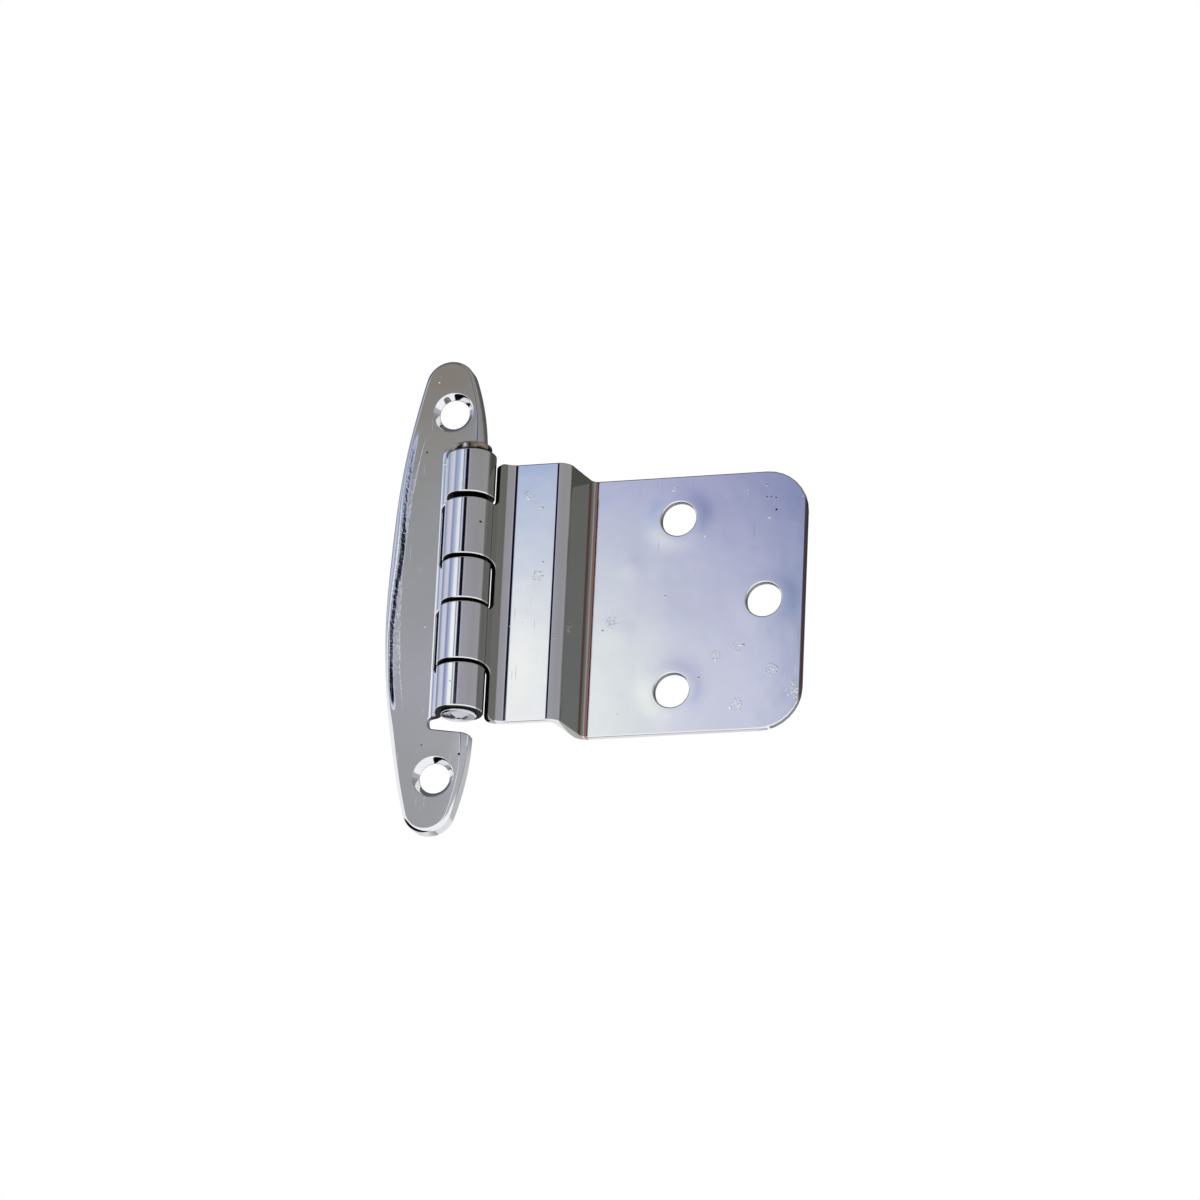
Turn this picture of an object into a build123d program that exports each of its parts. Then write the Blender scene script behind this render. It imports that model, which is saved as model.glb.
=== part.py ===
from build123d import *
from math import atan2, cos, degrees, radians, sin, sqrt, tan
import os

os.makedirs("parts", exist_ok=True)

# Inset cabinet hinge. +Z runs along the pin, +X from the frame leaf to the door plate, -Y faces the room.
# The origin is the middle between the two frame screws, on the inner face of the frame leaf.
# The rim of the frame leaf, the knuckles and the strip all reach back to the face of the cabinet frame.

sheet = 1.016
pin_diameter = 4.7625
running_clearance = 0.05

# Barrel: five knuckles, the odd ones on the frame leaf and the even ones on the door leaf.
pin_line = 3.55
barrel_rise = 0.7
outer_knuckle = 6.5
middle_knuckle = 6.1
door_knuckle = 8.45
knuckle_gap = 0.45
top_gap = 0.75
knuckle_edge = 0.35

# Frame leaf: a pointed shell with a rolled rim and two countersunk screw holes.
leaf_length = 69.85
leaf_bulge = 8.3
bulge_radius = 129.0
tip_radius = 3.6
lobe_width = 4.7
lobe_start = 20.4
rim_depth = 2.45
rim_roll = 1.4
leaf_bend = 1.3
slot_corner = 0.8
low_slot_root = 19.9
low_slot_angle = 8.8
seam_angle = 28.0
screw_spacing = 53.975
screw_hole = 4.3
countersink = 5.8
countersink_angle = 82.0

# Door leaf: a strip on the frame's face, a step back and a plate behind the door.
door_height = 38.1
strip_end = 11.65
strip_bend = 2.3
step_depth = 7.9375
step_angle = 80.0
step_outer_bend = 2.0
step_inner_bend = 0.9
plate_width = 30.3
plate_corner = 6.0
notch_line = 3.57
notch_corner = 1.0
door_seam_angle = 37.0
door_hole = 5.0
door_hole_line = 11.8
door_hole_pitch = 25.4
third_hole_step = 12.7

# Pin: a flat head above the barrel and a peened end below it.
head_diameter = 5.4
head_height = 1.4
head_edge = 0.4
head_clearance = 0.35
peened_diameter = 4.97
peened_height = 0.9
peened_edge = 0.35

pin_radius = pin_diameter / 2
bore_radius = pin_radius + running_clearance
frame_barrel_radius = pin_radius + sheet
door_barrel_radius = bore_radius + sheet
frame_face = rim_depth - sheet
pin_depth = frame_face - door_barrel_radius

barrel_length = 2 * outer_knuckle + middle_knuckle + 2 * door_knuckle + 3 * knuckle_gap + top_gap
barrel_top = barrel_rise + barrel_length / 2
barrel_bottom = barrel_rise - barrel_length / 2
k1_bottom = barrel_top - outer_knuckle
k2_top = k1_bottom - top_gap
k2_bottom = k2_top - door_knuckle
k3_top = k2_bottom - knuckle_gap
k3_bottom = k3_top - middle_knuckle
k4_top = k3_bottom - knuckle_gap
k4_bottom = k4_top - door_knuckle
k5_top = k4_bottom - knuckle_gap
slot_top = barrel_top + head_height + head_clearance

# The leaf's left side is one long arc, its tips are small arcs, and its right side is a third arc.
bulge_centre = bulge_radius - leaf_bulge
tip_height = leaf_length / 2 - tip_radius
tip_line = bulge_centre - sqrt((bulge_radius - tip_radius) ** 2 - tip_height**2)
lobe_run = tip_line - lobe_width
lobe_rise = tip_height - lobe_start
lobe_radius = (lobe_run**2 + lobe_rise**2 - tip_radius**2) / (-2 * (lobe_run + tip_radius))
left_angle = atan2(tip_height, tip_line - bulge_centre)
right_angle = atan2(lobe_rise, tip_line - lobe_width + lobe_radius)
left_touch = (tip_line + tip_radius * cos(left_angle), tip_height + tip_radius * sin(left_angle))
right_touch = (tip_line + tip_radius * cos(right_angle), tip_height + tip_radius * sin(right_angle))
right_mid = (
    lobe_width - lobe_radius + lobe_radius * cos(right_angle / 2),
    lobe_start + lobe_radius * sin(right_angle / 2),
)

# Each knuckle is a bend off its leaf that wraps over the front of the pin, with its seam at the back.
leaf_front = -sheet - pin_depth
leaf_reach = sqrt((frame_barrel_radius + leaf_bend) ** 2 - (leaf_front - leaf_bend) ** 2)
leaf_start = pin_line - leaf_reach
leaf_angle = degrees(atan2(leaf_front - leaf_bend, -leaf_reach))
low_slot_end = -low_slot_root - (2 * lobe_width - leaf_start) * tan(radians(low_slot_angle))
strip_surface = frame_face - sheet
strip_front = strip_surface - pin_depth
strip_reach = sqrt((door_barrel_radius + strip_bend) ** 2 - (strip_front - strip_bend) ** 2)
strip_start = pin_line + strip_reach
strip_angle = degrees(atan2(strip_front - strip_bend, strip_reach))


def around(radius, angle):
    return (pin_line + radius * cos(radians(angle)), pin_depth + radius * sin(radians(angle)))


frame_wrap_end = 180 - seam_angle
frame_wrap_mid = (leaf_angle + frame_wrap_end) / 2
door_wrap_end = door_seam_angle - 360
door_wrap_mid = (strip_angle + door_wrap_end) / 2
leaf_bend_centre = (leaf_start, -sheet - leaf_bend)
strip_bend_centre = (strip_start, strip_surface - strip_bend)

with BuildPart() as frame_leaf:
    with BuildSketch(Plane.XZ.offset(-frame_face)) as outline:
        with BuildLine():
            ThreePointArc(
                (left_touch[0], -left_touch[1]),
                (-leaf_bulge, 0),
                left_touch,
            )
            ThreePointArc(left_touch, (tip_line, leaf_length / 2), right_touch)
            ThreePointArc(right_touch, right_mid, (lobe_width, lobe_start))
            Line((lobe_width, lobe_start), (lobe_width, -lobe_start))
            ThreePointArc(
                (lobe_width, -lobe_start),
                (right_mid[0], -right_mid[1]),
                (right_touch[0], -right_touch[1]),
            )
            ThreePointArc(
                (right_touch[0], -right_touch[1]),
                (tip_line, -leaf_length / 2),
                (left_touch[0], -left_touch[1]),
            )
        make_face()
    extrude(amount=rim_depth)
    front_face = frame_leaf.faces().sort_by(Axis.Y)[0]
    fillet(front_face.edges().filter_by(GeomType.CIRCLE), rim_roll)
    offset(amount=-sheet, openings=frame_leaf.faces().sort_by(Axis.Y)[-1])
    with BuildSketch(Plane.XZ.offset(-frame_face)) as knuckle_side:
        with BuildLine():
            Polyline(
                (leaf_start, slot_top),
                (2 * lobe_width, slot_top),
                (2 * lobe_width, low_slot_end),
                (leaf_start, -low_slot_root),
                close=True,
            )
        make_face()
        fillet(knuckle_side.vertices().group_by(Axis.X)[0], slot_corner)
    extrude(amount=rim_depth, mode=Mode.SUBTRACT)
    with BuildSketch(Plane.XY.offset(barrel_bottom)) as frame_wrap:
        with BuildLine():
            Line((leaf_start, 0), (leaf_start, -sheet))
            ThreePointArc(
                (leaf_start, -sheet),
                (
                    leaf_bend_centre[0] + leaf_bend * cos(radians(45)),
                    leaf_bend_centre[1] + leaf_bend * sin(radians(45)),
                ),
                around(frame_barrel_radius, leaf_angle),
            )
            ThreePointArc(
                around(frame_barrel_radius, leaf_angle),
                around(frame_barrel_radius, frame_wrap_mid),
                around(frame_barrel_radius, frame_wrap_end),
            )
            Line(around(frame_barrel_radius, frame_wrap_end), around(pin_radius, frame_wrap_end))
            ThreePointArc(
                around(pin_radius, frame_wrap_end),
                around(pin_radius, frame_wrap_mid),
                around(pin_radius, leaf_angle),
            )
            ThreePointArc(
                around(pin_radius, leaf_angle),
                (
                    leaf_bend_centre[0] + (leaf_bend + sheet) * cos(radians(45)),
                    leaf_bend_centre[1] + (leaf_bend + sheet) * sin(radians(45)),
                ),
                (leaf_start, 0),
            )
        make_face()
    extrude(amount=outer_knuckle)
    extrude(frame_wrap.sketch.moved(Location((0, 0, k3_bottom - barrel_bottom))), amount=middle_knuckle)
    extrude(frame_wrap.sketch.moved(Location((0, 0, k1_bottom - barrel_bottom))), amount=outer_knuckle)
    with BuildSketch(Plane.XZ.offset(-pin_depth)) as barrel_bevels:
        for end, inward in ((barrel_top, -knuckle_edge), (barrel_bottom, knuckle_edge)):
            with BuildLine():
                Polyline(
                    (pin_line + frame_barrel_radius - knuckle_edge, end - inward),
                    (pin_line + frame_barrel_radius - knuckle_edge, end),
                    (pin_line + frame_barrel_radius, end + inward),
                    (pin_line + frame_barrel_radius + knuckle_edge, end - inward),
                    close=True,
                )
            make_face()
    revolve(axis=Axis((pin_line, pin_depth, 0), (0, 0, 1)), mode=Mode.SUBTRACT)
    with Locations(
        Plane((0, -sheet, screw_spacing / 2), x_dir=(1, 0, 0), z_dir=(0, -1, 0)),
        Plane((0, -sheet, -screw_spacing / 2), x_dir=(1, 0, 0), z_dir=(0, -1, 0)),
    ):
        CounterSinkHole(
            radius=screw_hole / 2,
            counter_sink_radius=countersink / 2,
            depth=rim_depth,
            counter_sink_angle=countersink_angle,
        )

# The step turns back by its angle between two bends.
turn = radians(step_angle)
strip_stop = pin_line + strip_end
wall = (step_depth - (step_outer_bend + step_inner_bend) * (1 - cos(turn))) / sin(turn)
plate_surface = strip_surface + step_depth
first_centre = (strip_stop, strip_surface + step_outer_bend)
second_centre = (
    strip_stop + (step_outer_bend + step_inner_bend) * sin(turn) + wall * cos(turn),
    plate_surface - step_inner_bend,
)
plate_start = second_centre[0]
plate_end = plate_start + plate_width
hole_line = plate_start + door_hole_line


def on_first(radius, angle):
    return (first_centre[0] + radius * sin(angle), first_centre[1] - radius * cos(angle))


def on_second(radius, angle):
    return (second_centre[0] - radius * sin(angle), second_centre[1] + radius * cos(angle))


with BuildPart() as door_leaf:
    with BuildSketch(Plane.XY.offset(-door_height / 2)) as door_profile:
        with BuildLine():
            Line(around(bore_radius, door_wrap_end), around(door_barrel_radius, door_wrap_end))
            ThreePointArc(
                around(door_barrel_radius, door_wrap_end),
                around(door_barrel_radius, door_wrap_mid),
                around(door_barrel_radius, strip_angle),
            )
            ThreePointArc(
                around(door_barrel_radius, strip_angle),
                (
                    strip_bend_centre[0] - strip_bend * cos(radians(45)),
                    strip_bend_centre[1] + strip_bend * sin(radians(45)),
                ),
                (strip_start, strip_surface),
            )
            Line((strip_start, strip_surface), (strip_stop, strip_surface))
            ThreePointArc(
                (strip_stop, strip_surface),
                on_first(step_outer_bend, turn / 2),
                on_first(step_outer_bend, turn),
            )
            Line(on_first(step_outer_bend, turn), on_second(step_inner_bend, turn))
            ThreePointArc(
                on_second(step_inner_bend, turn),
                on_second(step_inner_bend, turn / 2),
                on_second(step_inner_bend, 0),
            )
            Line(on_second(step_inner_bend, 0), (plate_end, plate_surface))
            Line((plate_end, plate_surface), (plate_end, plate_surface + sheet))
            Line((plate_end, plate_surface + sheet), on_second(step_inner_bend + sheet, 0))
            ThreePointArc(
                on_second(step_inner_bend + sheet, 0),
                on_second(step_inner_bend + sheet, turn / 2),
                on_second(step_inner_bend + sheet, turn),
            )
            Line(on_second(step_inner_bend + sheet, turn), on_first(step_outer_bend - sheet, turn))
            ThreePointArc(
                on_first(step_outer_bend - sheet, turn),
                on_first(step_outer_bend - sheet, turn / 2),
                (strip_stop, frame_face),
            )
            Line((strip_stop, frame_face), (strip_start, frame_face))
            ThreePointArc(
                (strip_start, frame_face),
                (
                    strip_bend_centre[0] - (strip_bend + sheet) * cos(radians(45)),
                    strip_bend_centre[1] + (strip_bend + sheet) * sin(radians(45)),
                ),
                around(bore_radius, strip_angle),
            )
            ThreePointArc(
                around(bore_radius, strip_angle),
                around(bore_radius, door_wrap_mid),
                around(bore_radius, door_wrap_end),
            )
        make_face()
    extrude(amount=door_height)
    fillet(door_leaf.edges().filter_by(Axis.Y).group_by(Axis.X)[-1], plate_corner)
    with BuildSketch(Plane.XZ) as notches:
        with Locations((pin_line + notch_line - door_height / 2, k2_top + door_height / 2)):
            Rectangle(door_height, door_height)
        with Locations((pin_line + notch_line - door_height / 2, (k2_bottom + k4_top) / 2)):
            Rectangle(door_height, k2_bottom - k4_top)
        with Locations((pin_line + notch_line - door_height / 2, k4_bottom - door_height / 2)):
            Rectangle(door_height, door_height)
        fillet(
            notches.vertices()
            .group_by(Axis.X)[-1]
            .filter_by(lambda corner: k4_bottom - 1 < corner.Z < k2_top + 1),
            notch_corner,
        )
    extrude(amount=door_height, both=True, mode=Mode.SUBTRACT)
    with BuildSketch(Plane.XZ) as door_holes:
        with Locations(
            (hole_line, door_hole_pitch / 2),
            (hole_line, -door_hole_pitch / 2),
            (hole_line + third_hole_step, 0),
        ):
            Circle(door_hole / 2)
    extrude(amount=-2 * step_depth, mode=Mode.SUBTRACT)

with BuildPart() as hinge_pin:
    with BuildSketch(Plane.XZ.offset(-pin_depth)) as pin_half:
        with BuildLine():
            Polyline(
                (pin_line, barrel_top + head_height),
                (pin_line + head_diameter / 2 - head_edge, barrel_top + head_height),
                (pin_line + head_diameter / 2, barrel_top + head_height - head_edge),
                (pin_line + head_diameter / 2, barrel_top),
                (pin_line + pin_radius, barrel_top),
                (pin_line + pin_radius, barrel_bottom),
                (pin_line + peened_diameter / 2, barrel_bottom),
                (pin_line + peened_diameter / 2, barrel_bottom - peened_height + peened_edge),
                (pin_line + peened_diameter / 2 - peened_edge, barrel_bottom - peened_height),
                (pin_line, barrel_bottom - peened_height),
                close=True,
            )
        make_face()
    revolve(axis=Axis((pin_line, pin_depth, 0), (0, 0, 1)))

frame_leaf.part.label = "frame_leaf"
door_leaf.part.label = "door_leaf"
hinge_pin.part.label = "hinge_pin"
export_step(frame_leaf.part, "parts/frame_leaf.step")
export_step(door_leaf.part, "parts/door_leaf.step")
export_step(hinge_pin.part, "parts/hinge_pin.step")
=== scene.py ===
"""Dressed model of a chrome-plated inset cabinet hinge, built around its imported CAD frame.

Every leaf is worked out as a sheet: an outline in the flat blank is filled with triangles, folded by a
formula for bends and wraps, and closed into a shell with rounded cut edges. Lengths are in millimetres
until a mesh is made, where they turn into metres. +Z runs along the pin and -Y faces the room.
"""

import logging
import math
from dataclasses import dataclass
from enum import Enum

import bpy
import numpy as np
from mathutils import Matrix, Vector
from mathutils.geometry import delaunay_2d_cdt


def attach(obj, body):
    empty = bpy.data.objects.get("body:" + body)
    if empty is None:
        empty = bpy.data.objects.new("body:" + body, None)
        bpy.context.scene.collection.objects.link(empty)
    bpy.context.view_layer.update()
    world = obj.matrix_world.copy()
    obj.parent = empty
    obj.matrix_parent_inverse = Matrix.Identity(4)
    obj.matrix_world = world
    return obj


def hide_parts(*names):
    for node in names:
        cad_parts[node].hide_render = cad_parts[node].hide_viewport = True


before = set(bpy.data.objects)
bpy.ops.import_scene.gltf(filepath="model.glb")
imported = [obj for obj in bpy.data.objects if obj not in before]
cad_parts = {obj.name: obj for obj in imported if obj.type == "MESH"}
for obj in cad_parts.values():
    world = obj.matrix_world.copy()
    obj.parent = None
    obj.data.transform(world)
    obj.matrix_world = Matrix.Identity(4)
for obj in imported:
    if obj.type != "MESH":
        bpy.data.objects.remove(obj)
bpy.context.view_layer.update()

LOG = logging.getLogger("inset_hinge")
Link = bpy.types.Node | bpy.types.NodeSocket
MM = 0.001
SHEET = 1.016
PIN_X = 3.55
PIN_Y = -2.01325
FRAME_FACE = 1.434
# Meshes: arc steps of a cut edge, its radius at the back, points of a hole and the flat lip round it,
# longest run along an edge, least distance of filling points to it, and points tested at a time.
ROUND_STEPS, BACK_EDGE, HOLE_POINTS, HOLE_LIP = 5, 0.12, 72, 0.1
EDGE_STEP, FILL_MARGIN, BATCH = 0.2, 0.14, 4000
# Painted shade on cut edges: where the plate's darkened edge walls are, how far from the pin the black reaches,
# and the lower slot.
EDGE_SHADE_X, EDGE_SHADE_LOW, EDGE_SHADE_SHARE = 9.0, -18.8, 0.7
SHADE_REACH, BARREL_MIDDLE, BARREL_HALF = 5.6, 0.7, 19.4
STEEP_GAIN, STEEP_START, SLOT_GAIN = 4.7, 2.7, 3.0
SLOT_Z, SLOT_HALF, SLOT_SPAN, SLOT_FRONT = -20.6, 1.5, (-1.0, 6.5), -1.3
# Painted shade and painted reflection in bands along the door leaf's folds and along the plate's right edge:
# from x, to x, soft edge and colour.
FOLD_PAINTED_LIGHT = (
    (6.4, 8.25, 0.12, "#a9aba3"), (16.9, 18.5, 0.15, "#a9aba3"), (18.5, 19.15, 0.15, "#c39c8c"),
    (48.95, 49.7, 0.1, "#7c666b"),
)


class Body(Enum):
    """The CAD bodies that pieces ride on."""

    FRAME = "frame_side"
    DOOR = "door_side"


class Slot(Enum):
    """The record's material slots."""

    FRAME = "frame_chrome"
    DOOR = "door_chrome"
    PIN = "pin_steel"


def linear(code: str) -> tuple[float, float, float, float]:
    """Turns an sRGB hex value into linear colour.

    Args:
        code: Six hex digits after a hash sign.

    Returns:
        Linear red, green and blue, and an alpha of 1.
    """
    value = np.array([int(code[i : i + 2], 16) for i in (1, 3, 5)]) / 255
    curve = np.where(value <= 0.04045, value / 12.92, ((value + 0.055) / 1.055) ** 2.4)
    return (*curve.tolist(), 1.0)


def add_node(tree: bpy.types.NodeTree, kind: str, values: dict | tuple = (), **settings) -> bpy.types.Node:
    """Adds a node, sets its properties, and sets or links its inputs.

    Args:
        tree: The node tree.
        kind: The node's type name without its common start.
        values: The inputs by name, or in the node's order, which is value, old limits and new limits for
            a Map Range: a value, or a node or an output socket to link from. A node stands for its first
            output that is in use.
        **settings: Properties of the node.

    Returns:
        The new node.
    """
    node = tree.nodes.new(f"ShaderNode{kind}")
    for name, setting in settings.items():
        setattr(node, name, setting)
    for key, value in values.items() if isinstance(values, dict) else enumerate(values):
        if isinstance(value, bpy.types.Node):
            value = next(socket for socket in value.outputs if socket.enabled)
        if isinstance(value, bpy.types.NodeSocket):
            tree.links.new(value, node.inputs[key])
        else:
            node.inputs[key].default_value = value
    return node


def set_ramp(node: bpy.types.Node, stops: list | tuple) -> bpy.types.Node:
    """Gives a colour ramp its stops.

    Args:
        node: A Color Ramp node.
        stops: Position from 0 to 1 and hex colour.

    Returns:
        The same node.
    """
    elements = node.color_ramp.elements
    for _ in stops[2:]:
        elements.new(0.5)
    for element, (place, code) in zip(elements, sorted(stops)):
        element.position = place
        element.color = linear(code)
    return node


def start_material(name: str) -> tuple[bpy.types.Material, bpy.types.NodeTree]:
    """Makes a material with an empty node tree, and returns both."""
    material = bpy.data.materials.new(name)
    material.use_nodes = True
    material.node_tree.nodes.clear()
    return material, material.node_tree


def place_object(name: str, data: bpy.types.ID) -> bpy.types.Object:
    """Makes an object of a mesh, a lamp or a camera, puts it into the scene and returns it."""
    item = bpy.data.objects.new(name, data)
    bpy.context.scene.collection.objects.link(item)
    return item


@dataclass
class Surface:
    """Points in millimetres, unit normals, triangles whose corners turn left seen from outside, and the share
    of painted shade.
    """

    points: np.ndarray
    normals: np.ndarray
    faces: np.ndarray
    painted_shade: np.ndarray | None = None

    def to_object(self, name: str, material: bpy.types.Material, body: Body, slot: Slot, node: str) -> None:
        """Makes the mesh object, with smooth shading on the worked-out normals.

        Args:
            name: The piece's name.
            material: Its finish.
            body: The CAD body that it rides on.
            slot: The record's slot; not used.
            node: The CAD node that it stands for.
        """
        mesh = bpy.data.meshes.new(name)
        mesh.from_pydata((self.points * MM).tolist(), [], self.faces.tolist())
        mesh.polygons.foreach_set("use_smooth", np.ones(len(self.faces), bool))
        mesh.normals_split_custom_set_from_vertices(self.normals.tolist())
        # The share of painted shade rides on the mesh as a point attribute.
        pits_and_painted_shade = mesh.attributes.new("painted_shade", "FLOAT", "POINT")
        pits_and_painted_shade.data.foreach_set("value", np.zeros(len(self.points)) if self.painted_shade is None else self.painted_shade)
        mesh.materials.append(material)
        mesh.validate()
        piece = place_object(name, mesh)
        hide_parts(node)
        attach(piece, body.value)
        LOG.info("%s: %d points, %d triangles", name, len(self.points), len(self.faces))


def unit(vectors: np.ndarray) -> np.ndarray:
    """Returns the vectors at length 1."""
    return vectors / np.maximum(np.linalg.norm(vectors, axis=-1, keepdims=True), 1e-12)


def resample(path: np.ndarray, step: float) -> np.ndarray:
    """Divides each run of a path into equal parts no longer than a step, and leaves out the last point.

    Args:
        path: Points along the path.
        step: Longest part.

    Returns:
        The denser points.
    """
    run = np.diff(path, axis=0)
    count = np.maximum(1, np.ceil(np.linalg.norm(run, axis=1) / step - 1e-9)).astype(int)
    first = np.repeat(np.arange(len(run)), count)
    part = np.arange(count.sum()) - np.repeat(np.cumsum(count) - count, count)
    return path[first] + run[first] * (part / count[first])[:, None]


def rounded_path(corners: list, radii: list, inset: float, closed: bool) -> np.ndarray:
    """Rounds the corners of a path that has its material on the left, and moves it into the material.

    Each corner moves along the sum of its two runs' left normals divided by one plus their product. An
    arc then turns about a centre on the inner side, its radius less the inset on an outer corner and
    more on an inner one.

    Args:
        corners: Corner points.
        radii: Radius at each corner, on the real edge.
        inset: Distance into the material.
        closed: True if the path joins its own start.

    Returns:
        Points along the path, without the last one of an open path.
    """
    place = np.asarray(corners, float)
    run = unit(np.diff(np.vstack([place, place[:1]]) if closed else place, axis=0))
    came = np.roll(run, 1, axis=0) if closed else np.vstack([run[:1], run])
    goes = run if closed else np.vstack([run, run[-1:]])
    left_came = np.stack([-came[:, 1], came[:, 0]], axis=1)
    left_goes = np.stack([-goes[:, 1], goes[:, 0]], axis=1)
    product = np.sum(left_came * left_goes, axis=1)
    moved = place + inset * (left_came + left_goes) / (1 + product)[:, None]
    turn = np.arctan2(came[:, 0] * goes[:, 1] - came[:, 1] * goes[:, 0], np.sum(came * goes, axis=1))
    radius = np.maximum(np.asarray(radii, float) - inset * np.sign(turn), 0.02)
    start = moved - came * (radius * np.tan(np.abs(turn) / 2))[:, None]
    centre = start + left_came * (radius * np.sign(turn))[:, None]
    angle = turn[:, None] * np.linspace(0, 1, 9)[None, :]
    spoke = start - centre
    arc_x = spoke[:, :1] * np.cos(angle) - spoke[:, 1:] * np.sin(angle)
    arc_y = spoke[:, :1] * np.sin(angle) + spoke[:, 1:] * np.cos(angle)
    path = (centre[:, None, :] + np.stack([arc_x, arc_y], axis=2)).reshape(-1, 2)
    if closed:
        path = np.vstack([path, path[:1]])
    keep = np.append(np.linalg.norm(np.diff(path, axis=0), axis=1) > 1e-5, True)
    return resample(path[keep], EDGE_STEP)


def circle(centre: tuple, radius: float, count: int) -> np.ndarray:
    """Returns points on a circle, turning right, which keeps the material of a hole on the left."""
    angle = -np.linspace(0, 2 * np.pi, count, endpoint=False)
    return np.stack([centre[0] + radius * np.cos(angle), centre[1] + radius * np.sin(angle)], axis=1)


def lattice(sections: list[tuple[float, float]], rows: tuple[float, float, float]) -> np.ndarray:
    """Makes a lattice whose columns are closer together where the sheet bends.

    Args:
        sections: Each section's end along the run and the step of its columns; the first only starts.
        rows: Lowest row, highest row and step.

    Returns:
        The lattice's points in run and z.
    """
    ends = np.array(sections)
    columns = resample(np.stack([ends[:, 0], np.zeros(len(ends))], axis=1), 1e9)[:, 0]
    parts = [
        np.linspace(start, end, max(2, round((end - start) / step) + 1))[:-1]
        for start, (end, step) in zip(columns, sections[1:])
    ]
    across = np.concatenate([*parts, ends[-1:, 0]])
    levels = np.linspace(rows[0], rows[1], round((rows[1] - rows[0]) / rows[2]) + 1)
    return np.stack(np.meshgrid(across, levels), axis=2).reshape(-1, 2)


def inside(points: np.ndarray, loops: list[np.ndarray], margin: float) -> np.ndarray:
    """Says which points lie inside the loops and no nearer to them than a margin.

    A point is inside if a ray from it along the first axis crosses the loops an odd number of times.

    Args:
        points: Points to test.
        loops: Closed outlines, holes among them.
        margin: Least distance to any outline point.

    Returns:
        One truth value for each point.
    """
    if len(points) > BATCH:
        return np.concatenate([inside(part, loops, margin) for part in np.array_split(points, 8)])
    crossings = np.zeros(len(points), int)
    clear = np.ones(len(points), bool)
    for loop in loops:
        following = np.roll(loop, -1, axis=0)
        spans = (loop[None, :, 1] > points[:, None, 1]) != (following[None, :, 1] > points[:, None, 1])
        rise = following[:, 1] - loop[:, 1]
        slope = (following[:, 0] - loop[:, 0]) / np.where(np.abs(rise) < 1e-12, 1e-12, rise)
        meets = loop[None, :, 0] + (points[:, None, 1] - loop[None, :, 1]) * slope[None, :]
        crossings += np.sum(spans & (meets > points[:, None, 0]), axis=1)
        gap = np.min(np.sum((points[:, None, :] - loop[None, :, :]) ** 2, axis=2), axis=1)
        clear &= gap > margin**2
    return (crossings % 2 == 1) & clear


def fill(loops: list[np.ndarray], filling: np.ndarray) -> tuple[np.ndarray, np.ndarray]:
    """Fills an outline with holes with triangles.

    Args:
        loops: The outline first, turning left, then the holes.
        filling: Points to use inside, where they are clear of the outlines.

    Returns:
        The points, the loops' own first and in order, and the triangles.
    """
    starts = np.cumsum([0] + [len(loop) for loop in loops])
    points = np.vstack([*loops, filling[inside(filling, loops, FILL_MARGIN)]])
    edges = [
        np.stack([np.arange(len(loop)), np.roll(np.arange(len(loop)), -1)], axis=1) + start
        for loop, start in zip(loops, starts)
    ]
    found = delaunay_2d_cdt([Vector(p) for p in points.tolist()], np.vstack(edges).tolist(), [], 2, 1e-7)
    origin = np.array([same[0] if same else -1 for same in found[3]])
    faces = origin[np.array(found[2])]
    if (faces < 0).any():
        raise ValueError("the outlines cross each other")
    faces = faces[inside(points[faces].mean(axis=1), loops, 0.0)]
    corner = points[faces]
    first, second = corner[:, 1] - corner[:, 0], corner[:, 2] - corner[:, 0]
    backward = first[:, 0] * second[:, 1] - first[:, 1] * second[:, 0] < 0
    faces[backward] = faces[backward][:, ::-1]
    return points, faces


def band_faces(first: np.ndarray, second: np.ndarray) -> np.ndarray:
    """Joins rows of matching vertex numbers by two triangles for each pair of neighbours.

    Args:
        first: Vertex numbers of the edges' ends, one row for each edge.
        second: The same edges on the next ring outwards.

    Returns:
        The triangles.
    """
    a, b, c, d = first[:, 0], first[:, 1], second[:, 1], second[:, 0]
    return np.vstack([np.stack([b, a, d], axis=1), np.stack([b, d, c], axis=1)])


def edge_painted_shade(place: np.ndarray, wall: np.ndarray) -> np.ndarray:
    """Paints shade onto the cut edges near the barrel and in the lower slot, where the gaps fall dark, and a
    lighter painted shade onto the steep cut walls of the strip, step and plate.

    The front part of the plate's lower edge stays bright. A share is the wall value times a gain less a
    start, held between 0 and 1.

    Args:
        place: Points in millimetres.
        wall: How far each point is round the cut edge, from 0 at the front over 1 to 2 at the back.

    Returns:
        The share of painted shade at each point.
    """
    x, y, z = place.T
    to_barrel = np.clip(SHADE_REACH - np.hypot(x - PIN_X, y - PIN_Y), 0, 1)
    near_barrel = to_barrel * (np.abs(z - BARREL_MIDDLE) < BARREL_HALF)
    steep = np.clip(STEEP_GAIN * wall - STEEP_START, 0, 1)
    edge_shade = np.where(z > EDGE_SHADE_LOW, steep, np.maximum(wall - 1, 0)) * (x > EDGE_SHADE_X)
    low, high = SLOT_SPAN
    at_slot = (np.abs(z - SLOT_Z) < SLOT_HALF) & (x > low) & (x < high) & (y > SLOT_FRONT)
    return np.maximum(steep * near_barrel + EDGE_SHADE_SHARE * edge_shade, np.clip(SLOT_GAIN * wall, 0, 1) * at_slot)


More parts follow.
